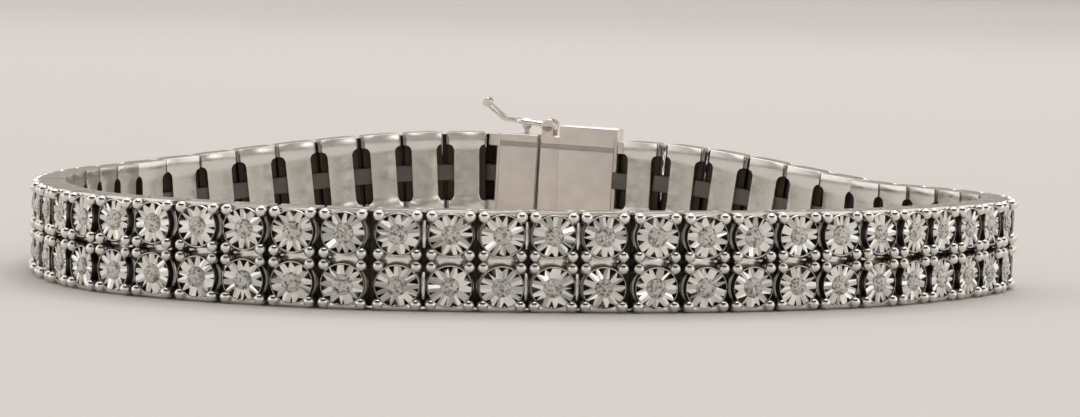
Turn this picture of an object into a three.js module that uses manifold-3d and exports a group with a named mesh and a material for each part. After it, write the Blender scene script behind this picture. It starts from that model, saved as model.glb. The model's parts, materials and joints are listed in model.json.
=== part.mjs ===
// A two-row tennis bracelet on a whole 7 inch loop, standing on its edge, as a three.js scene graph.
// Millimetres, +Z up. The floor is Z = 0 and the origin is the middle of the footprint.
// A frame on the chain has +X along it, counterclockwise seen from above, +Y towards the wrist, and +Z up.
import * as THREE from "three";
import { mergeVertices } from "three/addons/utils/BufferGeometryUtils.js";
import Module from "manifold-3d";

const wasm = await Module();
wasm.setup();

// Driving dimensions.
const PITCH = 3.1; // one link to the next
const LINKS = 54;
const LINKS_PER_STRAND = 3; // neighbouring links joined by their hinge tabs into one solid
const WIDTH = 6.05; // the bracelet's width, which is its height as it stands
const HALF_THICK = 1.1; // centre line to the wrist side
const CLASP_PITCH = 10.35; // slot to slot across the closed clasp
const GAP = 0.3; // between separate pieces
const CLASP_LIFT = 2.25; // the clasp's middle stands this much above the floor, on its lower catch
const CLASP_TILT = 0.036; // rise for each unit of length across the clasp, its tongue end being higher

// The plan of the loop, 270 being the front: how far its centre line is from the middle at each bearing.
// The curve is then scaled to the bracelet's real length.
const LOOP_PLAN = [
  { bearing: 270, reach: 23.2 },
  { bearing: 300, reach: 23.75 },
  { bearing: 330, reach: 27.05 },
  { bearing: 0, reach: 31.6 },
  { bearing: 30, reach: 27.85 },
  { bearing: 60, reach: 24.15 },
  { bearing: 90, reach: 24.85 },
  { bearing: 120, reach: 26.9 },
  { bearing: 150, reach: 32.55 },
  { bearing: 180, reach: 32.0 },
  { bearing: 210, reach: 30.95 },
  { bearing: 240, reach: 26.65 },
];
const CLASP_STATION = 82.8; // arc length from the first row to the middle of the clasp
const RISE_AFTER_CLASP = 31; // length over which the chain comes down to the floor past the tongue
const RISE_BEFORE_CLASP = 21.6; // the same past the box

// One link. Its plate has a rail along each edge and a narrow spine, so slots show between links.
const ROW_SPACING = 3.09; // upper cup to lower cup
const PLATE = { rail: 1.1, rail_half: 1.27, spine_half: 1.02, out: 0.4 };
const FACE = { inner: 0.3, outer: 1.25 };
// Right half of one cup's face, X and Z from its middle: rim, prong, rim, rim, prong, and the waist between cups.
const CUP_EDGE = [
  [0.52, 1.3],
  [1.15, 1.15],
  [1.33, 0.45],
  [1.33, -0.45],
  [1.15, -1.15],
  [0.62, -1.44],
];
const TAB = { height: 1.3, start: 0.6, inner: -0.95, outer: -0.3, joined: 2.25, free: 1.72 };
const OVERLAP = 0.2; // how far pieces of one solid run into each other

// The clasp, in a frame at its middle.
const BOX = { start: -4.6, shoulder: -0.1, end: 1.3, half_thick: 1.2, proud: 0.85, wall: 0.35, end_wall: 0.7, rim: 0.6 };
const TONGUE_BLOCK = { start: 1.45, end: 4.6 };
const TONGUE = { tip: -3.4, height: 4.0, leaf: 0.3, spread: 0.55 };
const HINGE = { x: 0.8, z: 6.78, knuckle: 0.5, bore: 0.34, pin: 0.2, half_length: 0.62, side_gap: 0.12 };
const LUG = { thick: 0.35, half_width: 0.4 };
const CATCH = { reach: 1.75, ring: 0.95, ring_hole: 0.58, waist: 0.45, wire: 0.55, raised_deg: 5 };
const THUMB_TAB = { start: 3.3, length: 1.95, half_width: 0.32, turned_up_deg: 32, roll: 0.38, roll_half: 0.45 };
const BALL = { radius: 0.36, stem: 0.2, drop: 0.1 }; // its middle is this much below the hinge
const LOWER = { hub_half: 0.35, plug: 0.6 }; // the plain lower catch: its hub and the plug in its ring

const WHITE_METAL = { color: 0xc9c7c2, roughness: 0.22, metalness: 1 };

// ---- closed meshes in and out of manifold-3d ----

function toSolid(geometry) {
  const bare = geometry.clone();
  bare.deleteAttribute("normal");
  bare.deleteAttribute("uv");
  const merged = mergeVertices(bare, 1e-4);
  return new wasm.Manifold(
    new wasm.Mesh({
      numProp: 3,
      vertProperties: merged.attributes.position.array,
      triVerts: new Uint32Array(merged.index.array),
    }),
  );
}

function toGeometry(solid) {
  const { vertProperties, triVerts, numProp } = solid.getMesh();
  const positions = new Float32Array((vertProperties.length / numProp) * 3);
  for (let i = 0; i < positions.length / 3; i += 1) {
    positions.set(vertProperties.subarray(i * numProp, i * numProp + 3), i * 3);
  }
  const geometry = new THREE.BufferGeometry();
  geometry.setAttribute("position", new THREE.BufferAttribute(positions, 3));
  geometry.setIndex(new THREE.BufferAttribute(triVerts, 1));
  geometry.computeVertexNormals();
  return geometry;
}

const union = (solids) => solids.reduce((whole, next) => whole.add(next));
const placed = (solid, matrix) => solid.transform(matrix.elements);

// ---- simple solids ----

function box(x0, x1, y0, y1, z0, z1) {
  const geometry = new THREE.BoxGeometry(x1 - x0, y1 - y0, z1 - z0);
  geometry.translate((x0 + x1) / 2, (y0 + y1) / 2, (z0 + z1) / 2);
  return toSolid(geometry);
}

// An outline in X and Z, given to both sides, made solid from one distance outwards to another.
function outwardPrism(points, from, to) {
  const outline = new THREE.Shape(points.map(([x, z]) => new THREE.Vector2(x, z)));
  const geometry = new THREE.ExtrudeGeometry(outline, { depth: to - from, bevelEnabled: false });
  geometry.rotateX(Math.PI / 2);
  geometry.translate(0, -from, 0);
  return toSolid(geometry);
}

function rodAlongY(radius, y0, y1, x, z, sides = 12) {
  const geometry = new THREE.CylinderGeometry(radius, radius, y1 - y0, sides);
  geometry.translate(x, (y0 + y1) / 2, z);
  return toSolid(geometry);
}

function rodAlongZ(radius, z0, z1, x) {
  const geometry = new THREE.CylinderGeometry(radius, radius, z1 - z0, 8);
  geometry.rotateX(Math.PI / 2);
  geometry.translate(x, 0, (z0 + z1) / 2);
  return toSolid(geometry);
}

function ball(radius, x, z) {
  const geometry = new THREE.SphereGeometry(radius, 8, 6);
  geometry.translate(x, 0, z);
  return toSolid(geometry);
}

// ---- the loop ----

const planCurve = new THREE.CatmullRomCurve3(
  LOOP_PLAN.map(({ bearing, reach }) => {
    const angle = THREE.MathUtils.degToRad(bearing);
    return new THREE.Vector3(reach * Math.cos(angle), reach * Math.sin(angle), 0);
  }),
  true,
  "catmullrom",
  0.5,
);
planCurve.arcLengthDivisions = 720;
const LOOP_LENGTH = LINKS * PITCH + CLASP_PITCH;
const PLAN_SCALE = LOOP_LENGTH / planCurve.getLength();

// Height of the chain's lower edge at a distance from the clasp's middle, positive past the tongue.
function liftAt(distance) {
  const half = CLASP_PITCH / 2;
  const beyond = Math.max(0, Math.abs(distance) - half);
  const span = distance > 0 ? RISE_AFTER_CLASP : RISE_BEFORE_CLASP;
  const share = Math.min(1, beyond / span);
  const claspEnd = CLASP_LIFT + CLASP_TILT * THREE.MathUtils.clamp(distance, -half, half);
  return (claspEnd * (1 + Math.cos(Math.PI * share))) / 2;
}

// The chain's frame at a distance along the loop from the clasp's middle.
function frameAt(distance) {
  const station = (((CLASP_STATION + distance) % LOOP_LENGTH) + LOOP_LENGTH) % LOOP_LENGTH;
  const share = station / LOOP_LENGTH;
  const place = planCurve.getPointAt(share).multiplyScalar(PLAN_SCALE);
  const along = planCurve.getTangentAt(share);
  const signed = distance > LOOP_LENGTH / 2 ? distance - LOOP_LENGTH : distance;
  const step = PITCH / 2;
  const slope = (liftAt(signed + step) - liftAt(signed - step)) / (2 * step);
  const matrix = new THREE.Matrix4().makeRotationZ(Math.atan2(along.y, along.x));
  matrix.multiply(new THREE.Matrix4().makeRotationY(-Math.atan(slope)));
  const cornerDrop = Math.abs(slope) * PLATE.rail_half; // a tilted link still clears the floor
  matrix.setPosition(place.x, place.y, liftAt(signed) + cornerDrop);
  return matrix;
}

// ---- one link: a slotted plate on the wrist side, and the face of two cups with their prongs ----

// Points down the right side, then back up the left one.
const bothSides = (right) => [...right, ...right.map(([x, z]) => [-x, z]).reverse()];

function linkSolid() {
  const { rail, rail_half: railHalf, spine_half: spineHalf, out } = PLATE;
  const plate = bothSides([
    [railHalf, WIDTH],
    [railHalf, WIDTH - rail],
    [spineHalf, WIDTH - rail],
    [spineHalf, rail],
    [railHalf, rail],
    [railHalf, 0],
  ]);
  const upperCup = CUP_EDGE.map(([x, z]) => [x, (WIDTH + ROW_SPACING) / 2 + z]);
  const lowerCup = upperCup.map(([x, z]) => [x, WIDTH - z]).reverse();
  const face = bothSides([...upperCup, ...lowerCup]);
  return union([
    outwardPrism(plate, -HALF_THICK, out),
    outwardPrism(face, FACE.inner, FACE.outer),
  ]);
}

// The hinge tab that reaches from a link to the next one.
function tabSolid(reach) {
  const middle = WIDTH / 2;
  return box(TAB.start, reach, -TAB.outer, -TAB.inner, middle - TAB.height / 2, middle + TAB.height / 2);
}

const metal = new THREE.MeshStandardMaterial(WHITE_METAL);

function addMesh(parent, name, solid) {
  const mesh = new THREE.Mesh(toGeometry(solid), metal);
  mesh.name = name;
  parent.add(mesh);
  return mesh;
}

const linkAt = (index) => frameAt(CLASP_PITCH / 2 + (index + 0.5) * PITCH);

// A strand is a few neighbouring links in the frame of the middle one.
function addStrand(parent, first) {
  const link = linkSolid();
  const home = linkAt(first + (LINKS_PER_STRAND - 1) / 2);
  const toHome = home.clone().invert();
  const pieces = [];
  for (let index = first; index < first + LINKS_PER_STRAND; index += 1) {
    const last = index === first + LINKS_PER_STRAND - 1;
    const whole = link.add(tabSolid(last ? TAB.free : TAB.joined));
    pieces.push(placed(whole, toHome.clone().multiply(linkAt(index))));
  }
  const number = String(first / LINKS_PER_STRAND + 1).padStart(2, "0");
  const mesh = addMesh(parent, `link_strand_${number}`, union(pieces));
  home.decompose(mesh.position, mesh.quaternion, mesh.scale);
}

// ---- the clasp ----

function claspBox() {
  const half = BOX.half_thick;
  const inner = half - BOX.wall;
  const outside = union([
    box(BOX.start, BOX.shoulder, -half, half, -BOX.proud, WIDTH + BOX.proud),
    box(BOX.shoulder - OVERLAP, BOX.end, -half, half, 0, WIDTH),
  ]);
  const hollow = box(BOX.start + BOX.end_wall, BOX.end + 1, -inner, inner, BOX.rim, WIDTH - BOX.rim);
  const pieces = [outside.subtract(hollow)];
  for (const side of [-1, 1]) {
    const near = HINGE.half_length + HINGE.side_gap;
    const [y0, y1] = side > 0 ? [near, near + LUG.thick] : [-near - LUG.thick, -near];
    const [x0, x1] = [HINGE.x - LUG.half_width, HINGE.x + LUG.half_width];
    pieces.push(rodAlongY(HINGE.knuckle, y0, y1, HINGE.x, HINGE.z));
    pieces.push(box(x0, x1, y0, y1, WIDTH - OVERLAP, HINGE.z));
  }
  const reach = HINGE.half_length + HINGE.side_gap + LUG.thick / 2;
  pieces.push(rodAlongY(HINGE.pin, -reach, reach, HINGE.x, HINGE.z, 8));
  return union(pieces);
}

// The tongue block, its folded spring leaf inside the box, its hinge tab, and the ball that the catch snaps over.
function claspTongue() {
  const middle = WIDTH / 2;
  const { tip, height, leaf, spread } = TONGUE;
  const root = TONGUE_BLOCK.start + OVERLAP;
  const fold = new THREE.Shape([
    new THREE.Vector2(root, -spread),
    new THREE.Vector2(tip + leaf, -leaf / 2),
    new THREE.Vector2(tip, 0),
    new THREE.Vector2(tip + leaf, leaf / 2),
    new THREE.Vector2(root, spread),
    new THREE.Vector2(root, spread - leaf),
    new THREE.Vector2(tip + 3 * leaf, 0),
    new THREE.Vector2(root, leaf - spread),
  ]);
  const spring = new THREE.ExtrudeGeometry(fold, { depth: height, bevelEnabled: false });
  spring.translate(0, 0, middle - height / 2);
  const ballX = HINGE.x + CATCH.reach;
  const ballZ = HINGE.z - BALL.drop;
  const tabStart = TONGUE_BLOCK.end - OVERLAP;
  const tabEnd = CLASP_PITCH / 2 + PITCH / 2 - PLATE.spine_half - GAP;
  return union([
    box(TONGUE_BLOCK.start, TONGUE_BLOCK.end, -HALF_THICK, HALF_THICK, 0, WIDTH),
    toSolid(spring),
    box(tabStart, tabEnd, -TAB.outer, -TAB.inner, middle - TAB.height / 2, middle + TAB.height / 2),
    rodAlongZ(BALL.stem, WIDTH - OVERLAP, ballZ, ballX),
    ball(BALL.radius, ballX, ballZ),
  ]);
}

// A figure-eight safety catch in its own frame: hinge along Y at the origin, then the ring and a straight neck towards +X.
function catchOutline(hubHalf) {
  const waistX = CATCH.reach * 0.4;
  const neckAngle = Math.asin(THUMB_TAB.half_width / CATCH.ring);
  const opening = Math.PI - 0.75;
  const outline = new THREE.Shape();
  outline.moveTo(0, -hubHalf);
  outline.quadraticCurveTo(waistX * 0.7, -hubHalf, waistX, -CATCH.waist);
  outline.absarc(CATCH.reach, 0, CATCH.ring, -opening, -neckAngle, false);
  outline.lineTo(THUMB_TAB.start, -THUMB_TAB.half_width);
  outline.lineTo(THUMB_TAB.start, THUMB_TAB.half_width);
  outline.absarc(CATCH.reach, 0, CATCH.ring, neckAngle, opening, false);
  outline.lineTo(waistX, CATCH.waist);
  outline.quadraticCurveTo(waistX * 0.7, hubHalf, 0, hubHalf);
  const ringHole = new THREE.Path();
  ringHole.absarc(CATCH.reach, 0, CATCH.ring_hole, 0, 2 * Math.PI, true);
  outline.holes.push(ringHole);
  return outline;
}

function catchPlate(hubHalf) {
  const geometry = new THREE.ExtrudeGeometry(catchOutline(hubHalf), {
    depth: CATCH.wire,
    bevelEnabled: false,
    curveSegments: 6,
  });
  geometry.translate(0, 0, -CATCH.wire / 2);
  return toSolid(geometry);
}

// The catch's end, turned up for a thumbnail and rolled over at its tip.
function thumbTab() {
  const { start, length, half_width, turned_up_deg, roll, roll_half } = THUMB_TAB;
  const half = CATCH.wire / 2;
  return box(-half, length, -half_width, half_width, -half, half)
    .add(rodAlongY(roll, -roll_half, roll_half, length, 0))
    .rotate([0, -turned_up_deg, 0])
    .translate([start, 0, 0]);
}

function safetyCatch() {
  const half = HINGE.half_length;
  const knuckle = rodAlongY(HINGE.knuckle, -half, half, 0, 0);
  const bore = rodAlongY(HINGE.bore, -half - 1, half + 1, 0, 0);
  return union([knuckle, catchPlate(half), thumbTab()]).subtract(bore);
}

// The lower catch is closed and carries the clasp. It is one plain piece with its hinge tube and ball.
function lowerCatch() {
  const half = HINGE.half_length;
  const floor = -CLASP_LIFT - CLASP_TILT * PLATE.rail_half;
  const hub = floor + HINGE.knuckle;
  const plate = catchPlate(half).translate([HINGE.x, 0, floor + CATCH.wire / 2]);
  const ballX = HINGE.x + CATCH.reach;
  return union([
    rodAlongY(HINGE.knuckle, -half, half, HINGE.x, hub),
    plate,
    box(HINGE.x - LOWER.hub_half, HINGE.x + LOWER.hub_half, -half, half, hub, -GAP),
    rodAlongZ(LOWER.plug, floor + OVERLAP, floor + LOWER.plug, ballX),
    rodAlongZ(BALL.stem, floor + OVERLAP, -GAP, ballX),
  ]);
}

// ---- the whole bracelet ----

const bracelet = new THREE.Group();
for (let first = 0; first < LINKS; first += LINKS_PER_STRAND) {
  addStrand(bracelet, first);
}

const clasp = new THREE.Group();
frameAt(0).decompose(clasp.position, clasp.quaternion, clasp.scale);
addMesh(clasp, "clasp_box", claspBox());
addMesh(clasp, "clasp_tongue", claspTongue());
addMesh(clasp, "lower_safety_catch", lowerCatch());
const catchMesh = addMesh(clasp, "safety_catch", safetyCatch());
catchMesh.position.set(HINGE.x, 0, HINGE.z);
catchMesh.rotation.y = -THREE.MathUtils.degToRad(CATCH.raised_deg);
bracelet.add(clasp);

const extent = new THREE.Box3().setFromObject(bracelet, true);
const centre = extent.getCenter(new THREE.Vector3());
bracelet.position.set(-centre.x, -centre.y, 0);

export default bracelet;
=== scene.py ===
"""A two-row diamond tennis bracelet standing on its edge: the looks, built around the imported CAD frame.

Shapes are worked out in millimetres in a link's or the clasp's own frame, +X along the chain,
+Y towards the wrist and +Z up, and are placed in metres in the row frame.
"""

import json
import math
import random

import bmesh
import bpy
import numpy as np
from mathutils import Matrix, Vector


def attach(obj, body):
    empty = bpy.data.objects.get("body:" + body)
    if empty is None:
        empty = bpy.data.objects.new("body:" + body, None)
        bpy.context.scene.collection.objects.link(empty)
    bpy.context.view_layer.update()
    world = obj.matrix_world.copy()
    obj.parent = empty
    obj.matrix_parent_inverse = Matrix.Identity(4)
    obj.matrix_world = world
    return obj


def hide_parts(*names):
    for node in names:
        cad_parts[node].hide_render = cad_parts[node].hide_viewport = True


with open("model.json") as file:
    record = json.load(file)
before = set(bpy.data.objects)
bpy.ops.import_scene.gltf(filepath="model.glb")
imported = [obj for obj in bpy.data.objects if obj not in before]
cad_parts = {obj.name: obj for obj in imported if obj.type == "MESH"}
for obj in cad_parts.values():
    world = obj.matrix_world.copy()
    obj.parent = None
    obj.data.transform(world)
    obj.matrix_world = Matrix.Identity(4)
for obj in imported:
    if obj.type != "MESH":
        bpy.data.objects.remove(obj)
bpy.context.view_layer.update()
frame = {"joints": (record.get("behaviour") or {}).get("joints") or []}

MM = 0.001

# The chain, as in the part's source.
PITCH = 3.1
LINKS = 54
LINKS_PER_STRAND = 3
WIDTH = 6.05
CLASP_PITCH = 10.35
CLASP_LIFT = 2.25
CLASP_TILT = 0.036
CLASP_STATION = 82.8
RISE_AFTER_CLASP = 31
RISE_BEFORE_CLASP = 21.6
RAIL_HALF = 1.27
# The plan of the loop: bearing in degrees, and reach of the centre line there. The reaches, and the four
# values of the clasp's lift, station and rises above, are a least-squares fit's results, rounded.
LOOP_PLAN = [
    (270, 23.2),
    (300, 23.75),
    (330, 27.05),
    (0, 31.6),
    (30, 27.85),
    (60, 24.15),
    (90, 24.85),
    (120, 26.9),
    (150, 32.55),
    (180, 32.0),
    (210, 30.95),
    (240, 26.65),
]
STEPS_PER_ROW = 60

# Tones of metal: how much shade is painted into its colour, from polished metal with none to a dark recess in
# full painted shade.
UNSHADED = 0.0
FULL_SHADE = 1.0

# One link. Its gallery plate, on the wrist side, is wide at the rails and narrow at the spine between them.
WRIST_SIDE = 1.1
ROW_SPACING = 3.09
MIDDLE = WIDTH / 2
CUP_HEIGHTS = [MIDDLE + row * ROW_SPACING / 2 for row in (-1, 1)]
GALLERY_HALF = 1.33
GALLERY_SPINE = 0.95
GALLERY_RAIL = 0.95
GALLERY_CURVE = 0.45
GALLERY_STEPS = 4
GALLERY_INNER = 0.62
HINGE_TAB_Z = (MIDDLE - 0.62, MIDDLE + 0.62)
BEAD_PLACE_X = 1.135
BEAD_OUTER_Z = 1.095  # from the cup's middle, for the beads along the bracelet's edges
BEAD_INNER_Z = 1.18  # and for those where the two cups meet
BEAD_RADIUS = 0.365
BEAD_OUT = 0.885

# The cut plate in a cup. Each pair of numbers is the range of a random draw, and each longer row is the
# tones to choose from, each an amount of shade painted into the metal's colour: one side of a notch in
# painted shadow, the other mostly lit, and random painted shade on the petals and in the stone's well. Angles
# are in radians.
PETALS = 13
PLATE_HALF_X = 1.3
PLATE_HALF_Z = 1.21
PLATE_GAP = 0.01
RIM_OUT = 0.915
SEAT_OUT = 0.9
FLOOR_OUT = 0.38
WELL_HALF = 0.2
NOTCH_SLACK = 0.11
NOTCH_HALF = (0.05, 0.22)
NOTCH_START = (0.1, 0.6)
NOTCH_LEAN = (-0.3, 0.3)
NOTCH_DEPTH = (0.14, 0.24)
RIDGE_LEAN = (-0.05, 0.05)
RIDGE_SEAT_RISE = (-0.02, 0.05)
RIDGE_RIM_RISE = (-0.07, 0.07)
NOTCH_DARK_TONES = (0.8, 1.0, 1.0)
NOTCH_LIT_TONES = (0.0, 0.0, 0.2, 0.9)
PETAL_TONES = (0.0, 0.0, 0.08, 0.22, 0.42)
WELL_TONES = (0.0, 0.1, 0.7, 1.0)
WELL_FLOOR_TONE = 0.2

# The stone in its well.
STONE_RADIUS = (0.56, 0.65)
STONE_GAP = 0.005
STONE_OUT = 0.925
STONE_TILT = (-0.03, 0.03)
GIRDLE_HALF = 0.02

# How far a link is from its place, in millimetres and in degrees about the vertical.
LOOSE_X = (-0.05, 0.05)
LOOSE_Y = (0.03, 0.07)
LOOSE_Z = (0, 0.03)
LOOSE_TURN = (-1, 1)
SEED = 7

# The share of links that bare a plate's edge. The seed of this draw was searched for: it takes links 26, 28
# and 29, in the middle of the front, and none of 23 to 25, 27 and 30 to 32. The rest of the draw is chance.
EDGE_SHARE = 0.2
EDGE_SEED = 243

# The clasp.
BOX_START, BOX_SHOULDER, BOX_END = -4.6, -0.1, 1.3
BOX_HALF = 1.2
BOX_PROUD = 0.85
BLOCK_START, BLOCK_END = 1.45, 4.6
GROOVE = (5.15, 5.45)
HINGE_X, HINGE_Z = 0.8, 6.78
HUB_RADIUS = 0.5
CATCH_REACH = 1.75
CATCH_RAISED = math.radians(5)
TAB_START, TAB_LENGTH = 3.3, 1.95
TAB_TURNED_UP = math.radians(32)
BALL_RADIUS = 0.36
POST_HALF = 0.17

# Finishes, with the dark colour that painted shade mixes towards, and the stones' painted glints.
PAINTED_SHADE_COLOR = (0.055, 0.043, 0.033)
RECESS_ROUGHER = 0.3
NOISE_RANGE = (0.3, 0.7)  # where most of a noise's values lie
STONE_TINTS = [
    (0.0, (0.86, 0.81, 0.74)),
    (0.35, (0.98, 0.94, 0.88)),
    (0.7, (0.9, 0.88, 0.83)),
    (1.0, (1.0, 1.0, 0.98)),
]
STONE_GLINTS = [
    (0.0, (0.05, 0.045, 0.04)),
    (0.2, (0.42, 0.39, 0.35)),
    (0.42, (0.8, 0.77, 0.72)),
    (0.62, (1.0, 1.0, 1.0)),
]

# The room's light. An edge is the two cosines that a change runs between.
ROOM_LEVEL = 0.97
BAND_LOWER_EDGE = (0.42, 0.6)
BAND_UPPER_EDGE = (0.9, 0.98)
BAND_SIDE_EDGE = (-0.05, 0.25)
BAND_DEPTH = 0.96
LAMP_DIRECTION = (0.1, 0.12, 1)
LAMP_EDGE = (0.93, 0.985)
LAMP_LEVEL = 3.2
FLASH_DIRECTIONS = ((-0.5, -1, 0.22), (0.12, -1, 0.3), (0.75, -1, 0.16))
FLASH_EDGE = (0.988, 0.996)
FLASH_LEVEL = 1.1

# The camera, in metres. Its place, angles and lens are rounded results of the fit that gave LOOP_PLAN.
CAMERA_PLACE = (0.001082, -0.21761, 0.01975)
CAMERA_PITCH = math.radians(3.998)
CAMERA_ROLL = math.radians(1.259)
LENS = 108.0


# ---- the loop ----


def spline_point(share):
    """A point of the closed curve through LOOP_PLAN, and the direction there, at 0 to 1 of its rows."""
    corners = [
        Vector((reach * math.cos(math.radians(b)), reach * math.sin(math.radians(b))))
        for b, reach in LOOP_PLAN
    ]
    count = len(corners)
    place = share * count
    row = int(place) % count
    t = place - int(place)
    p0, p1, p2, p3 = (corners[(row + k) % count] for k in (-1, 0, 1, 2))
    m1, m2 = (p2 - p0) / 2, (p3 - p1) / 2
    cubic = 2 * p1 - 2 * p2 + m1 + m2
    square = -3 * p1 + 3 * p2 - 2 * m1 - m2
    point = p1 + m1 * t + square * t**2 + cubic * t**3
    direction = m1 + 2 * square * t + 3 * cubic * t**2
    return point, direction


def arc_table():
    """Shares of the closed curve, and the length along it that each is reached at, before scaling."""
    shares = np.linspace(0, 1, len(LOOP_PLAN) * STEPS_PER_ROW + 1)
    points = np.array([spline_point(s)[0] for s in shares])
    steps = np.hypot(*np.diff(points, axis=0).T)
    return shares, np.concatenate([[0], np.cumsum(steps)])


SHARES, LENGTHS = arc_table()
LOOP_LENGTH = LINKS * PITCH + CLASP_PITCH
PLAN_SCALE = LOOP_LENGTH / LENGTHS[-1]


def lift_at(distance):
    """How high the chain's lower edge is at a distance past the clasp's middle."""
    half = CLASP_PITCH / 2
    beyond = max(0, abs(distance) - half)
    span = RISE_AFTER_CLASP if distance > 0 else RISE_BEFORE_CLASP
    clasp_end = CLASP_LIFT + CLASP_TILT * max(-half, min(half, distance))
    return clasp_end * (1 + math.cos(math.pi * min(1, beyond / span))) / 2


def chain_frame(distance):
    """The chain's frame at a distance past the clasp's middle, before the loop is centred."""
    station = (CLASP_STATION + distance) % LOOP_LENGTH
    share = np.interp(station / PLAN_SCALE, LENGTHS, SHARES)
    point, direction = spline_point(min(share, 1 - 1e-9))
    signed = distance - LOOP_LENGTH if distance > LOOP_LENGTH / 2 else distance
    slope = (lift_at(signed + PITCH / 2) - lift_at(signed - PITCH / 2)) / PITCH
    height = lift_at(signed) + abs(slope) * RAIL_HALF
    return (
        Matrix.Translation((*(point * PLAN_SCALE), height))
        @ Matrix.Rotation(math.atan2(direction.y, direction.x), 4, "Z")
        @ Matrix.Rotation(-math.atan(slope), 4, "Y")
    )


hinge = next(j for j in frame["joints"] if j["name"] == "safety_catch_hinge")
hinge_place = chain_frame(0) @ Vector((HINGE_X, 0, HINGE_Z))
CENTRED = Matrix.Translation(Vector(hinge["pos_m"]) / MM - hinge_place)
CLASP_FRAME = CENTRED @ chain_frame(0)


def link_frame(index):
    return CENTRED @ chain_frame(CLASP_PITCH / 2 + (index + 0.5) * PITCH)


# ---- solids as points and faces ----


class Shape:
    """Points in millimetres, faces, and each face's painted shade: 0 for polished metal with none to 1 for a
    dark recess in full painted shade.
    """

    def __init__(self):
        self.points = []
        self.faces = []
        self.tones = []
        self.count = 0

    def add(self, solid, matrix=None, tone=0.0):
        points, faces, *tones = solid
        points = np.asarray(points, float)
        if matrix is not None:
            m = np.array(matrix)
            points = points @ m[:3, :3].T + m[:3, 3]
            if np.linalg.det(m[:3, :3]) < 0:
                faces = [face[::-1] for face in faces]
        self.points.append(points)
        self.faces += [[i + self.count for i in face] for face in faces]
        self.tones += tones[0] if tones else [tone] * len(faces)
        self.count += len(points)

    def solid(self):
        return np.vstack(self.points), self.faces, self.tones


def from_bmesh(bm):
    bm.verts.index_update()
    solid = ([v.co[:] for v in bm.verts], [[v.index for v in f.verts] for f in bm.faces])
    bm.free()
    return solid


def rounded_block(x, y, z, edge=0.08, segments=2):
    """A block between two limits along each of X, Y and Z, its edges rounded."""
    bm = bmesh.new()
    bmesh.ops.create_cube(bm, size=1)
    size = Vector((x[1] - x[0], y[1] - y[0], z[1] - z[0]))
    middle = Vector((x[0] + x[1], y[0] + y[1], z[0] + z[1])) / 2
    for v in bm.verts:
        v.co = middle + v.co * size
    bmesh.ops.bevel(bm, geom=bm.edges[:], offset=edge, segments=segments, profile=0.5, affect="EDGES")
    return from_bmesh(bm)


def outline_block(outline, y0, y1, edge):
    """An outline in X and Z made solid from y0 to y1, its rims rounded."""
    bm = bmesh.new()
    face = bm.faces.new([bm.verts.new((x, y0, z)) for x, z in outline])
    moved = bmesh.ops.extrude_face_region(bm, geom=[face])["geom"]
    for v in moved:
        if isinstance(v, bmesh.types.BMVert):
            v.co.y = y1
    bmesh.ops.recalc_face_normals(bm, faces=bm.faces[:])
    rims = [e for e in bm.edges if abs(e.verts[0].co.y - e.verts[1].co.y) < 1e-6]
    bmesh.ops.bevel(bm, geom=rims, offset=edge, segments=2, profile=0.5, affect="EDGES")
    return from_bmesh(bm)


def tube_faces(rows, sides):
    """The faces that join rows of points into a tube, then its two flat ends."""
    faces = []
    for start in range(0, (rows - 1) * sides, sides):
        for k in range(sides):
            after = (k + 1) % sides
            faces.append([start + k, start + after, start + sides + after, start + sides + k])
    faces.append([k for k in range(sides)][::-1])
    faces.append([(rows - 1) * sides + k for k in range(sides)])
    return faces


def lathe_out(rings, x, z, sides):
    """Rings of (half width, half height, distance outwards, painted shade of the band after it), with closed
    ends.
    """
    turn = 2 * math.pi / sides
    points = [
        (x + half_x * math.cos(k * turn), -out, z + half_z * math.sin(k * turn))
        for half_x, half_z, out, _ in rings
        for k in range(sides)
    ]
    tones = [tone for *_, tone in rings[:-1] for _ in range(sides)]
    return points, tube_faces(len(rings), sides), tones + [rings[0][3], rings[-1][3]]


def bead(radius, x, y, z, around=20, up=12):
    bm = bmesh.new()
    bmesh.ops.create_uvsphere(bm, u_segments=around, v_segments=up, radius=radius)
    bmesh.ops.rotate(bm, verts=bm.verts[:], matrix=Matrix.Rotation(math.pi / 2, 3, "X"))
    bmesh.ops.translate(bm, verts=bm.verts[:], vec=(x, y, z))
    return from_bmesh(bm)


def swept_tube(path, radius, sides=12):
    """A round wire along a list of points in the XY plane, with flat ends."""
    points = []
    for i, p in enumerate(path):
        before, after = path[max(i - 1, 0)], path[min(i + 1, len(path) - 1)]
        along = (after - before).normalized()
        side = Vector((-along.y, along.x, 0))
        for k in range(sides):
            angle = 2 * math.pi * k / sides
            points.append(p + radius * (math.cos(angle) * side + math.sin(angle) * Vector((0, 0, 1))))
    return points, tube_faces(len(path), sides)


# ---- one link ----


def gallery_plate():
    """The wrist side of a link: wide at both rails and drawn in between them, so slots show."""
    right = [(GALLERY_HALF, 0.0), (GALLERY_HALF, GALLERY_RAIL)]
    for k in range(1, GALLERY_STEPS + 1):
        angle = math.pi / 2 * k / GALLERY_STEPS
        x = GALLERY_HALF - (GALLERY_HALF - GALLERY_SPINE) * math.sin(angle)
        right.append((x, GALLERY_RAIL + GALLERY_CURVE * (1 - math.cos(angle))))
    right += [(x, WIDTH - z) for x, z in reversed(right)]
    outline = right + [(-x, z) for x, z in reversed(right)]
    return outline_block(outline, GALLERY_INNER, WRIST_SIDE, edge=0.08)


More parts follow.
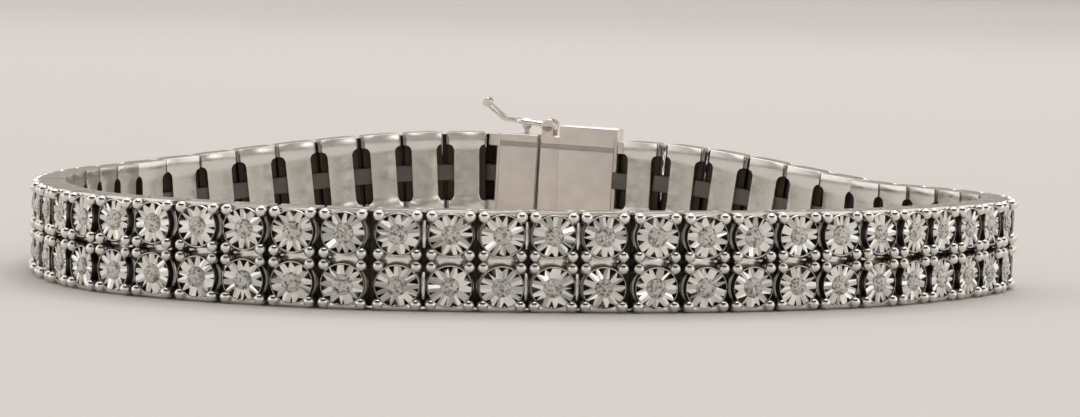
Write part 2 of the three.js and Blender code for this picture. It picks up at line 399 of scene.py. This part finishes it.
def cup_body(z):
    """A cup on a wider ring, with a thin lip round the well that its cut plate sits in."""
    # The last number of each ring is the shade painted on the band after it: dark on the cup's back, in the
    # step above its ring and in its well, light on the ring and the rim.
    rings = [
        (1.0, 1.0, -0.35, 1.0),
        (1.42, 1.35, -0.1, 0.95),
        (1.47, 1.385, 0.02, 0.1),
        (1.48, 1.39, 0.28, 0.0),
        (1.43, 1.355, 0.35, 0.6),
        (1.3, 1.25, 0.4, 0.95),
        (1.27, 1.23, 0.6, 0.75),
        (1.31, 1.27, 0.86, 0.2),
        (1.335, 1.31, 0.92, 0.2),
        (1.325, 1.29, 0.98, 0.1),
        (PLATE_HALF_X + 0.01, PLATE_HALF_Z + 0.03, 0.98, 0.7),
        (PLATE_HALF_X, PLATE_HALF_Z, 0.95, 0.9),
        (PLATE_HALF_X, PLATE_HALF_Z, 0.35, 0.9),
    ]
    return lathe_out(rings, 0.0, z, sides=44)


def edge_rail(outward):
    """The rail along a link's lower edge, a little higher at the link's ends."""
    half, height, end_rise, inward = 1.4, 0.36, 0.07, 0.9
    lower = [(x, end_rise * (abs(x) / half) ** 4) for x in np.linspace(-half, half, 13)]
    return outline_block(lower + [(half, height), (-half, height)], -outward, inward, edge=0.07)


def add_prong(link, x, z):
    """A prong's shaft and the bead on its end."""
    # The shaft's painted shade is darkest at its root and light near the bead.
    shaft = [
        (0.27, 0.27, -0.3, 1.0),
        (0.29, 0.29, 0.3, 0.8),
        (0.32, 0.32, 0.72, 0.2),
        (0.32, 0.32, 0.9, 0.2),
    ]
    link.add(lathe_out(shaft, x, z, sides=14))
    link.add(bead(BEAD_RADIUS, x, -BEAD_OUT, z))


def link_metal():
    """All of one link's metal but the cut plates in its cups."""
    link = Shape()
    # Shade is painted onto the parts set back between the cups: fully on the web and its end, partly on the
    # backings of the rails, nearly fully on the hinge tab; little on the gallery plate and the upper rail,
    # none on the lower rail and the waist.
    link.add(gallery_plate(), tone=0.03)

    web = rounded_block(x=(-1.42, 1.42), y=(-0.06, 0.55), z=(0.12, WIDTH - 0.12), edge=0.06)
    web_end = rounded_block(x=(1.3, 1.8), y=(-0.02, 0.1), z=(0.2, WIDTH - 0.2), edge=0.04)
    link.add(web, tone=FULL_SHADE)
    link.add(web_end, tone=FULL_SHADE)
    for low in (0.15, WIDTH - 0.95):
        backing = rounded_block(x=(-1.5, 1.5), y=(0.14, 0.66), z=(low, low + 0.8), edge=0.06)
        link.add(backing, tone=0.6)

    upside_down = Matrix.Translation((0, 0, WIDTH)) @ Matrix.Diagonal((1, 1, -1, 1))
    link.add(edge_rail(outward=0.8), tone=UNSHADED)
    link.add(edge_rail(outward=0.66), upside_down, tone=0.08)

    waist = rounded_block(x=(-1.0, 1.0), y=(-0.22, 0.0), z=(MIDDLE - 0.5, MIDDLE + 0.5))
    link.add(waist, tone=UNSHADED)
    hinge_tab = rounded_block(x=(0.7, 2.3), y=(0.3, 0.85), z=HINGE_TAB_Z, edge=0.12)
    link.add(hinge_tab, tone=0.88)

    for z, outer in zip(CUP_HEIGHTS, (-1, 1)):
        link.add(cup_body(z))
        for side in (-1, 1):
            for up in (-1, 1):
                height = z + up * (BEAD_OUTER_Z if up == outer else BEAD_INNER_Z)
                add_prong(link, side * BEAD_PLACE_X, height)
    return link.solid()


def plate_edges():
    """The next plate's bare edge, where it shows between two pairs of cups."""
    edges = Shape()
    for z in CUP_HEIGHTS:
        edge = rounded_block(x=(1.42, 1.68), y=(-0.16, -0.02), z=(z - 0.85, z + 0.85), edge=0.06)
        edges.add(edge, tone=UNSHADED)
    return edges.solid()


def cut_plate(z, stone, rng):
    """A bright-cut plate: petals round the stone, with a graver's notch between each two."""
    step = 2 * math.pi / PETALS
    phase = rng.uniform(0, step)
    angles = [phase + k * step + rng.uniform(-NOTCH_SLACK, NOTCH_SLACK) for k in range(PETALS)]
    reach_x = PLATE_HALF_X - PLATE_GAP - stone
    reach_z = PLATE_HALF_Z - PLATE_GAP - stone
    well = WELL_HALF / reach_x - stone / reach_x
    points, faces, tones = [], [], []

    def put(share, angle, out):
        """A point at a share of the way from the stone's edge to the rim."""
        x = (stone + share * reach_x) * math.cos(angle)
        points.append((x, -out, z + (stone + share * reach_z) * math.sin(angle)))
        return len(points) - 1

    def face(tone, *corners):
        faces.append(list(corners))
        tones.append(tone)

    notches = []
    for angle in angles:
        half = rng.uniform(*NOTCH_HALF)
        start = rng.uniform(*NOTCH_START)
        notch = {
            "seat": put(0, angle, SEAT_OUT),
            "apex": put(start, angle, SEAT_OUT + (RIM_OUT - SEAT_OUT) * start),
            "before": put(1, angle - half, RIM_OUT),
            "bottom": put(1, angle + rng.uniform(*NOTCH_LEAN) * half, RIM_OUT - rng.uniform(*NOTCH_DEPTH)),
            "after": put(1, angle + half, RIM_OUT),
            "low_before": put(1, angle - half, FLOOR_OUT),
            "low": put(1, angle, FLOOR_OUT),
            "low_after": put(1, angle + half, FLOOR_OUT),
            "well": put(well, angle, FLOOR_OUT),
            "tones": [rng.choice(NOTCH_DARK_TONES), rng.choice(NOTCH_LIT_TONES)],
        }
        rng.shuffle(notch["tones"])
        notches.append(notch)

    ridges = []
    for k, angle in enumerate(angles):
        beyond = angles[(k + 1) % PETALS] + (2 * math.pi if k == PETALS - 1 else 0)
        middle = (angle + beyond) / 2 + rng.uniform(*RIDGE_LEAN)
        ridge = {
            "seat": put(0, middle, SEAT_OUT + rng.uniform(*RIDGE_SEAT_RISE)),
            "rim": put(1, middle, RIM_OUT + rng.uniform(*RIDGE_RIM_RISE)),
            "low": put(1, middle, FLOOR_OUT),
            "well": put(well, middle, FLOOR_OUT),
        }
        ridges.append(ridge)

    for k, ridge in enumerate(ridges):
        here, there = notches[k], notches[(k + 1) % PETALS]
        # The two sides of the notches, then the petal's two halves between them, each in its drawn painted
        # shade.
        face(here["tones"][0], here["apex"], here["bottom"], here["after"])
        face(there["tones"][1], there["before"], there["bottom"], there["apex"])
        tone = rng.choice(PETAL_TONES)
        face(tone, here["seat"], here["apex"], here["after"], ridge["rim"], ridge["seat"])
        tone = rng.choice(PETAL_TONES)
        face(tone, ridge["seat"], ridge["rim"], there["before"], there["apex"], there["seat"])
        # The outer wall, in full painted shade, then the wall of the stone's well, in random painted shade.
        face(FULL_SHADE, here["bottom"], here["low"], here["low_after"], here["after"])
        face(FULL_SHADE, there["before"], there["low_before"], there["low"], there["bottom"])
        face(FULL_SHADE, here["after"], here["low_after"], ridge["low"], ridge["rim"])
        face(FULL_SHADE, ridge["rim"], ridge["low"], there["low_before"], there["before"])
        face(rng.choice(WELL_TONES), here["well"], here["seat"], ridge["seat"], ridge["well"])
        face(rng.choice(WELL_TONES), ridge["well"], ridge["seat"], there["seat"], there["well"])

    pairs = list(zip(notches, ridges))
    under = [i for n, r in pairs for i in (n["low_before"], n["low"], n["low_after"], r["low"])]
    # The underside, in full painted shade, then the well's floor, in a little.
    face(FULL_SHADE, *reversed(under))
    face(WELL_FLOOR_TONE, *(i for n, r in pairs for i in (n["well"], r["well"])))
    return points, faces, tones


def brilliant(z, stone, rng):
    """A round brilliant: table, crown, girdle and pavilion facets."""
    eighth = math.pi / 4
    turn = rng.uniform(0, eighth)
    tilt_x = Matrix.Rotation(rng.uniform(*STONE_TILT), 4, "X")
    tilt_z = Matrix.Rotation(rng.uniform(*STONE_TILT), 4, "Z")
    girdle = stone - STONE_GAP
    crown = 0.30 * girdle
    pavilion = 0.86 * girdle
    corners = [  # radius, share of an eighth of a turn, height over the girdle's middle
        (0.56 * girdle, 0.0, crown),
        (0.80 * girdle, 0.5, 0.52 * crown),
        (girdle, 0.0, GIRDLE_HALF),
        (girdle, 0.5, GIRDLE_HALF),
        (girdle, 0.0, -GIRDLE_HALF),
        (girdle, 0.5, -GIRDLE_HALF),
        (0.42 * girdle, 0.5, -0.58 * pavilion),
    ]
    bm = bmesh.new()
    for k in range(8):
        for radius, share, height in corners:
            angle = turn + k * eighth + share * eighth
            bm.verts.new((radius * math.cos(angle), -height, radius * math.sin(angle)))
    bm.verts.new((0, pavilion, 0))
    bmesh.ops.convex_hull(bm, input=bm.verts[:])
    bmesh.ops.dissolve_limit(bm, angle_limit=0.01, verts=bm.verts[:], edges=bm.edges[:])
    place = Matrix.Translation((0, -STONE_OUT, z)) @ (tilt_x @ tilt_z)
    bmesh.ops.transform(bm, matrix=place, verts=bm.verts[:])
    return from_bmesh(bm)


# ---- materials ----


def new_material(name):
    material = bpy.data.materials.new(name)
    material.use_nodes = True
    shader = material.node_tree.nodes["Principled BSDF"]
    return material, material.node_tree, shader


def noise(tree, scale, detail=4.0):
    place = tree.nodes.new("ShaderNodeTexCoord")
    texture = tree.nodes.new("ShaderNodeTexNoise")
    texture.inputs["Scale"].default_value = scale
    texture.inputs["Detail"].default_value = detail
    tree.links.new(place.outputs["Object"], texture.inputs["Vector"])
    return texture.outputs["Fac"]


def remapped(tree, value, start, end, low, high):
    """A change from low to high as a value goes from start to end."""
    remap = tree.nodes.new("ShaderNodeMapRange")
    for name, number in (("From Min", start), ("From Max", end), ("To Min", low), ("To Max", high)):
        remap.inputs[name].default_value = number
    tree.links.new(value, remap.inputs["Value"])
    return remap


def ramp_of(tree, value, stops):
    """A colour ramp through (position, colour) stops."""
    ramp = tree.nodes.new("ShaderNodeValToRGB")
    first, last = ramp.color_ramp.elements
    first.position, first.color = stops[0][0], (*stops[0][1], 1)
    last.position, last.color = stops[-1][0], (*stops[-1][1], 1)
    for position, color in stops[1:-1]:
        ramp.color_ramp.elements.new(position).color = (*color, 1)
    tree.links.new(value, ramp.inputs["Fac"])
    return ramp.outputs["Color"]


def add_bump(tree, shader, height, strength, distance):
    bump = tree.nodes.new("ShaderNodeBump")
    bump.inputs["Strength"].default_value = strength
    bump.inputs["Distance"].default_value = distance
    tree.links.new(height, bump.inputs["Height"])
    tree.links.new(bump.outputs["Normal"], shader.inputs["Normal"])


def metal_material(name, color, dull, shine, scratch):
    """Rhodium plate: bright grey, with soft wear in its gloss and fine scratches, and shade painted into its
    colour in its recesses: each face's painted shade mixes it towards a dark colour and makes it rougher.
    """
    material, tree, shader = new_material(name)
    shader.inputs["Metallic"].default_value = 1.0
    worn = ramp_of(tree, noise(tree, 900), [(0.35, [0.93 * c for c in color]), (0.65, color)])
    # Painted shade: a face attribute mixes the base colour towards a dark shade colour.
    tone = tree.nodes.new("ShaderNodeAttribute")
    tone.attribute_name = "tone"
    shaded = tree.nodes.new("ShaderNodeMix")
    shaded.data_type = "RGBA"
    shaded.inputs["B"].default_value = (*PAINTED_SHADE_COLOR, 1)
    tree.links.new(tone.outputs["Fac"], shaded.inputs["Factor"])
    tree.links.new(worn, shaded.inputs["A"])
    tree.links.new(shaded.outputs["Result"], shader.inputs["Base Color"])
    gloss = remapped(tree, noise(tree, 1500), *NOISE_RANGE, shine, dull)
    rougher = tree.nodes.new("ShaderNodeMath")
    rougher.operation = "MULTIPLY_ADD"
    rougher.inputs[1].default_value = RECESS_ROUGHER
    tree.links.new(tone.outputs["Fac"], rougher.inputs[0])
    tree.links.new(gloss.outputs["Result"], rougher.inputs[2])
    tree.links.new(rougher.outputs["Value"], shader.inputs["Roughness"])
    add_bump(tree, shader, noise(tree, 7000, 6), scratch, 0.00002)
    return material


def diamond_material():
    """Slightly grey, included diamonds: each has its own tint, broken up into small light and dark glints,
    facet reflections painted into the base colour.
    """
    material, tree, shader = new_material("diamond")
    shader.inputs["Transmission Weight"].default_value = 0.25
    shader.inputs["IOR"].default_value = 2.42
    shader.inputs["Roughness"].default_value = 0.03
    island = tree.nodes.new("ShaderNodeNewGeometry")
    tint = ramp_of(tree, island.outputs["Random Per Island"], STONE_TINTS)
    place = tree.nodes.new("ShaderNodeTexCoord")
    cells = tree.nodes.new("ShaderNodeTexVoronoi")
    cells.inputs["Scale"].default_value = 7500
    tree.links.new(place.outputs["Object"], cells.inputs["Vector"])
    parts = tree.nodes.new("ShaderNodeSeparateColor")
    tree.links.new(cells.outputs["Color"], parts.inputs["Color"])
    glint = ramp_of(tree, parts.outputs["Red"], STONE_GLINTS)
    mixed = tree.nodes.new("ShaderNodeMix")
    mixed.data_type = "RGBA"
    mixed.blend_type = "MULTIPLY"
    mixed.inputs["Factor"].default_value = 1.0
    tree.links.new(tint, mixed.inputs["A"])
    tree.links.new(glint, mixed.inputs["B"])
    tree.links.new(mixed.outputs["Result"], shader.inputs["Base Color"])
    add_bump(tree, shader, cells.outputs["Distance"], 0.8, 0.00005)
    return material


CLASP_METAL = metal_material("clasp_metal", (0.88, 0.80, 0.74), dull=0.55, shine=0.42, scratch=0.12)
METAL = metal_material("white_metal", (0.86, 0.835, 0.785), dull=0.24, shine=0.12, scratch=0.15)
CUT_METAL = metal_material("bright_cut_metal", (0.92, 0.90, 0.86), dull=0.12, shine=0.06, scratch=0.05)
DIAMOND = diamond_material()


def add_piece(name, solid, material, body, replaces=(), sharp=35):
    points, faces, tones = solid
    mesh = bpy.data.meshes.new(name)
    mesh.from_pydata([tuple(p) for p in np.asarray(points) * MM], [], faces)
    mesh.update()
    # Each face's painted shade, which the metal materials darken their colour by.
    mesh.attributes.new("tone", "FLOAT", "FACE").data.foreach_set("value", tones)
    mesh.polygons.foreach_set("use_smooth", [True] * len(mesh.polygons))
    mesh.set_sharp_from_angle(angle=math.radians(sharp))
    mesh.materials.append(material)
    piece = bpy.data.objects.new(name, mesh)
    bpy.context.scene.collection.objects.link(piece)
    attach(piece, body)
    if replaces:
        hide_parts(*replaces)


# ---- the chain ----


def add_chain():
    """The links, three to a piece. Their cut plates and their stones are pieces of their own."""
    rng = random.Random(SEED)
    edge_rng = random.Random(EDGE_SEED)
    link = link_metal()
    edges = plate_edges()
    for first in range(0, LINKS, LINKS_PER_STRAND):
        metal, plates, stones = Shape(), Shape(), Shape()
        for index in range(first, first + LINKS_PER_STRAND):
            shift = Matrix.Translation((rng.uniform(*LOOSE_X), rng.uniform(*LOOSE_Y), rng.uniform(*LOOSE_Z)))
            turn = Matrix.Rotation(math.radians(rng.uniform(*LOOSE_TURN)), 4, "Z")
            place = link_frame(index) @ shift @ turn
            metal.add(link, place)
            if edge_rng.random() < EDGE_SHARE:
                metal.add(edges, place)
            for z in CUP_HEIGHTS:
                stone = rng.uniform(*STONE_RADIUS)
                plates.add(cut_plate(z, stone, rng), place)
                stones.add(brilliant(z, stone, rng), place)
        number = f"{first // LINKS_PER_STRAND + 1:02d}"
        strand = [f"link_strand_{number}"]
        add_piece(f"chain_metal_{number}", metal.solid(), METAL, "bracelet", strand)
        add_piece(f"cut_plates_{number}", plates.solid(), CUT_METAL, "bracelet", sharp=5)
        add_piece(f"diamonds_{number}", stones.solid(), DIAMOND, "bracelet", sharp=5)


# ---- the clasp ----


def figure_eight():
    """The safety catch's wire, from one side of its hub round the ring and back."""
    hub, ring, wire = 0.4, 0.75, 0.2
    opening = math.pi - 0.62
    half = [Vector((0.05, -hub, 0)), Vector((0.45, -hub * 0.95, 0)), Vector((0.8, -0.33, 0))]
    arc = [
        Vector((CATCH_REACH + ring * math.cos(a), ring * math.sin(a), 0))
        for a in np.linspace(-opening, opening, 25)
    ]
    other = [Vector((p.x, -p.y, 0)) for p in reversed(half)]
    path = half + arc + other
    for _ in range(2):
        smooth = [(a + 2 * b + c) / 4 for a, b, c in zip(path, path[1:], path[2:])]
        path = [path[0]] + smooth + [path[-1]]
    return swept_tube(path, wire)


def thumb_tab():
    """The strip beyond the ring, turned up in a bend for a thumbnail to lift."""
    half_thick, half_width, bend_radius = 0.2, 0.3, 0.5
    run = TAB_LENGTH - 0.25
    bend = [
        (TAB_START + bend_radius * math.sin(a), bend_radius * (1 - math.cos(a)), a)
        for a in np.linspace(0, TAB_TURNED_UP, 7)
    ]
    x, z, angle = bend[-1]
    start = (CATCH_REACH + 0.72, 0.0, 0.0)
    end = (x + run * math.cos(angle), z + run * math.sin(angle), angle)
    middle = [start, *bend, end]
    under = [(x + half_thick * math.sin(a), z - half_thick * math.cos(a)) for x, z, a in middle]
    over = [(x - half_thick * math.sin(a), z + half_thick * math.cos(a)) for x, z, a in middle]
    return outline_block(under + over[::-1], -half_width, half_width, edge=0.08)


def rod_y(radius, y0, y1, x, z, sides=28):
    """A round rod across the clasp with softened ends."""
    soft = 0.06
    rings = [
        (radius - soft, radius - soft, -y1, 0.0),
        (radius, radius, -y1 + soft, 0.0),
        (radius, radius, -y0 - soft, 0.0),
        (radius - soft, radius - soft, -y0, 0.0),
    ]
    return lathe_out(rings, x, z, sides)


def catch_shape():
    """What both catches have: the hub and the wire, in a frame at the hinge."""
    shape = Shape()
    shape.add(rod_y(HUB_RADIUS, -0.62, 0.62, 0, 0))
    shape.add(figure_eight())
    return shape


def add_grooved_face(shape, x, face, top):
    """The clasp's wrist side: a long panel and a top rim with a groove between them, darkened with painted
    shade.
    """
    low, high = GROOVE
    shape.add(rounded_block(x, y=(0.7, face), z=(0.2, low), segments=3))
    shape.add(rounded_block(x, y=(0.7, face), z=(high, top - 0.05), segments=3))
    shape.add(rounded_block(x, y=(0.7, face - 0.09), z=(low - 0.1, high + 0.1), edge=0.02), tone=0.35)


def close_gap(shape, web, plate, rail):
    """From the clasp to the next link, between X limits: a web in full painted shade, a plate outside it in
    lighter painted shade, and two rails.
    """
    shape.add(rounded_block(web, y=(-0.1, 0.28), z=(0.2, WIDTH - 0.2), edge=0.05), tone=FULL_SHADE)
    shape.add(rounded_block(plate, y=(-0.45, -0.05), z=(0.25, WIDTH - 0.25), edge=0.08), tone=0.3)
    for low in (0.1, WIDTH - 1.0):
        shape.add(rounded_block(rail, y=(0.3, 0.95), z=(low, low + 0.9), edge=0.1))


def box_shape():
    """The box and its narrower shoulder, with the hinge's lugs and pin on top."""
    box = Shape()
    tall = WIDTH + BOX_PROUD
    box.add(
        rounded_block(
            x=(BOX_START, BOX_SHOULDER), y=(-BOX_HALF, 1.05), z=(-BOX_PROUD, tall), edge=0.22, segments=4
        )
    )
    add_grooved_face(box, (BOX_START + 0.3, BOX_SHOULDER - 0.06), BOX_HALF, tall)
    shoulder = BOX_SHOULDER - 0.3
    box.add(rounded_block(x=(shoulder, BOX_END), y=(-1.1, 0.95), z=(0.0, WIDTH), edge=0.1, segments=3))
    add_grooved_face(box, (shoulder, BOX_END - 0.04), 1.08, WIDTH)
    close_gap(
        box,
        web=(BOX_START - 0.8, BOX_START + 0.2),
        plate=(BOX_START - 0.75, BOX_START + 0.2),
        rail=(BOX_START - 0.5, BOX_START + 0.3),
    )
    for side in (-1, 1):
        y0, y1 = sorted((side * 0.74, side * 1.09))
        box.add(rod_y(HUB_RADIUS, y0, y1, HINGE_X, HINGE_Z))
        lug = rounded_block(
            x=(HINGE_X - 0.42, HINGE_X + 0.42), y=(y0, y1), z=(WIDTH - 0.15, HINGE_Z), edge=0.05
        )
        box.add(lug)
    box.add(rod_y(0.2, -1.0, 1.0, HINGE_X, HINGE_Z, sides=16))
    return box


def tongue_shape():
    """The tongue's end block, with the tab of the first link's hinge and the post and ball of the catch."""
    block = Shape()
    block.add(rounded_block(x=(BLOCK_START, BLOCK_END), y=(-1.1, 0.96), z=(0, WIDTH), edge=0.14, segments=4))
    add_grooved_face(block, (BLOCK_START + 0.06, BLOCK_END - 0.25), 1.1, WIDTH)
    close_gap(
        block,
        web=(BLOCK_END - 0.2, BLOCK_END + 0.95),
        plate=(BLOCK_END - 0.2, BLOCK_END + 0.9),
        rail=(BLOCK_END - 0.3, BLOCK_END + 0.62),
    )
    # The hinge tab is painted in shade, as in a link.
    hinge_tab = rounded_block(x=(BLOCK_END - 0.2, 5.4), y=(0.3, 0.9), z=HINGE_TAB_Z, edge=0.12)
    block.add(hinge_tab, tone=0.85)
    ball_x, ball_z = HINGE_X + CATCH_REACH, HINGE_Z - 0.1
    post_x = (ball_x - POST_HALF, ball_x + POST_HALF)
    block.add(rounded_block(post_x, y=(-POST_HALF, POST_HALF), z=(WIDTH - 0.1, ball_z), edge=0.07))
    block.add(bead(BALL_RADIUS, ball_x, 0, ball_z, 20, 14))
    return block


def safety_catch_shape():
    """The catch on top, with its turned-up thumb tab ending in a roll."""
    catch = catch_shape()
    catch.add(thumb_tab())
    tip_x = TAB_START + TAB_LENGTH * math.cos(TAB_TURNED_UP)
    tip_z = TAB_LENGTH * math.sin(TAB_TURNED_UP)
    catch.add(rod_y(0.36, -0.42, 0.42, tip_x, tip_z))
    return catch


def lower_catch_shape():
    """The plain closed catch underneath, with its straight tab, its block, its ball and its post."""
    lower = catch_shape()
    lower.add(rounded_block(x=(CATCH_REACH + 0.75, TAB_START), y=(-0.3, 0.3), z=(-0.2, 0.2), edge=0.08))
    lower.add(rounded_block(x=(-0.35, 0.35), y=(-0.6, 0.6), z=(0.0, 1.25), edge=0.05))
    lower.add(bead(BALL_RADIUS, CATCH_REACH, 0, -0.12, 16, 10))
    post_x = (CATCH_REACH - POST_HALF, CATCH_REACH + POST_HALF)
    lower.add(rounded_block(post_x, y=(-POST_HALF, POST_HALF), z=(0, 1.25), edge=0.05))
    return lower


def add_clasp():
    at_hinge = CLASP_FRAME @ Matrix.Translation((HINGE_X, 0, HINGE_Z))
    raised = at_hinge @ Matrix.Rotation(-CATCH_RAISED, 4, "Y")
    lower_z = HUB_RADIUS - CLASP_LIFT - CLASP_TILT * RAIL_HALF
    lowered = CLASP_FRAME @ Matrix.Translation((HINGE_X, 0, lower_z))
    pieces = [  # name, shape, place, material, body, and the CAD node that the piece replaces
        ("clasp_box_metal", box_shape(), CLASP_FRAME, CLASP_METAL, "bracelet", "clasp_box"),
        ("clasp_tongue_metal", tongue_shape(), CLASP_FRAME, CLASP_METAL, "bracelet", "clasp_tongue"),
        ("safety_catch_metal", safety_catch_shape(), raised, METAL, "safety_catch", "safety_catch"),
        ("lower_catch_metal", lower_catch_shape(), lowered, METAL, "bracelet", "lower_safety_catch"),
    ]
    for name, shape, place, material, body, node in pieces:
        placed = Shape()
        placed.add(shape.solid(), place)
        add_piece(name, placed.solid(), material, body, [node])


# ---- stage, light and camera ----


def add_floor():
    """A pale sweep, in metres: a floor that curves up into a wall far behind."""
    half_width, near, bend, radius, top, steps = 9.0, -4.0, 7.0, 3.0, 7.0, 24
    profile = [(near, 0.0)]
    for k in range(steps + 1):
        angle = math.pi / 2 * k / steps
        profile.append((bend + radius * math.sin(angle), radius * (1 - math.cos(angle))))
    profile.append((bend + radius, top))
    points = [(x, y, z) for y, z in profile for x in (-half_width, half_width)]
    faces = [[2 * k, 2 * k + 1, 2 * k + 3, 2 * k + 2] for k in range(len(profile) - 1)]
    mesh = bpy.data.meshes.new("floor")
    mesh.from_pydata(points, [], faces)
    mesh.polygons.foreach_set("use_smooth", [True] * len(mesh.polygons))
    floor = bpy.data.objects.new("floor", mesh)
    bpy.context.scene.collection.objects.link(floor)
    material, _, shader = new_material("pale_sweep")
    shader.inputs["Base Color"].default_value = (0.715, 0.685, 0.655, 1)
    shader.inputs["Roughness"].default_value = 0.9
    shader.inputs["Specular IOR Level"].default_value = 0.1
    mesh.materials.append(material)


def smooth_step(tree, value, limits, low, high):
    """A smooth change from low to high as a value goes from one limit to the other."""
    remap = remapped(tree, value, *limits, low, high)
    remap.interpolation_type = "SMOOTHSTEP"
    return remap.outputs["Result"]


def along_direction(tree, direction):
    """The cosine of the angle between a world direction and the given one."""
    place = tree.nodes.new("ShaderNodeTexCoord")
    dot = tree.nodes.new("ShaderNodeVectorMath")
    dot.operation = "DOT_PRODUCT"
    dot.inputs[1].default_value = Vector(direction).normalized()
    tree.links.new(place.outputs["Generated"], dot.inputs[0])
    return dot.outputs["Value"]


def combine(tree, operation, first, second):
    node = tree.nodes.new("ShaderNodeMath")
    node.operation = operation
    for socket, value in zip(node.inputs, (first, second)):
        if isinstance(value, (int, float)):
            socket.default_value = value
        else:
            tree.links.new(value, socket)
    return node.outputs["Value"]


def add_room_light():
    """A pale room with a lamp overhead, a dark band high in front, and three small flashes lower down."""
    world = bpy.data.worlds.new("studio")
    world.use_nodes = True
    tree = world.node_tree
    background = tree.nodes["Background"]
    up = along_direction(tree, (0, 0, 1))
    front = along_direction(tree, (0, -1, 0))
    over_band = smooth_step(tree, up, BAND_LOWER_EDGE, 0, 1)
    under_band = smooth_step(tree, up, BAND_UPPER_EDGE, 1, 0)
    in_front = smooth_step(tree, front, BAND_SIDE_EDGE, 0, 1)
    band = combine(tree, "MULTIPLY", combine(tree, "MULTIPLY", over_band, under_band), in_front)
    dark = combine(tree, "SUBTRACT", 1.0, combine(tree, "MULTIPLY", band, BAND_DEPTH))
    low_front = smooth_step(tree, front, (0.3, 0.95), 1.1, 0.35)
    lamp = smooth_step(tree, along_direction(tree, LAMP_DIRECTION), LAMP_EDGE, 1.0, LAMP_LEVEL)
    total = combine(tree, "MULTIPLY", combine(tree, "MULTIPLY", dark, low_front), lamp)
    for direction in FLASH_DIRECTIONS:
        flash = smooth_step(tree, along_direction(tree, direction), FLASH_EDGE, 0, FLASH_LEVEL)
        total = combine(tree, "ADD", total, flash)
    tree.links.new(combine(tree, "MULTIPLY", total, ROOM_LEVEL), background.inputs["Strength"])
    background.inputs["Color"].default_value = (1.0, 0.975, 0.95, 1)
    bpy.context.scene.world = world


def add_back_softbox():
    """One soft lamp high behind the bracelet, turned to it."""
    place = Vector((0.15, 0.7, 0.9))
    lamp = bpy.data.lights.new("back_softbox", "AREA")
    lamp.shape = "RECTANGLE"
    lamp.size = 0.5
    lamp.size_y = 0.3
    lamp.energy = 1.5
    lamp.color = (1, 0.98, 0.95)
    softbox = bpy.data.objects.new("back_softbox", lamp)
    softbox.location = place
    softbox.rotation_euler = (Vector((0, 0, 0)) - place).to_track_quat("-Z", "Y").to_euler()
    bpy.context.scene.collection.objects.link(softbox)


def add_camera():
    """Long lens, a little above the floor, at the front."""
    lens_data = bpy.data.cameras.new("camera")
    lens_data.lens = LENS
    lens_data.sensor_width = 36
    lens_data.clip_start = 0.01
    lens_data.clip_end = 50
    camera = bpy.data.objects.new("camera", lens_data)
    camera.matrix_world = (
        Matrix.Translation(CAMERA_PLACE)
        @ Matrix.Rotation(math.pi / 2 - CAMERA_PITCH, 4, "X")
        @ Matrix.Rotation(CAMERA_ROLL, 4, "Z")
    )
    bpy.context.scene.collection.objects.link(camera)
    bpy.context.scene.camera = camera


add_camera()
add_chain()
add_clasp()
add_floor()
add_room_light()
add_back_softbox()
bpy.context.scene.view_settings.view_transform = "Standard"
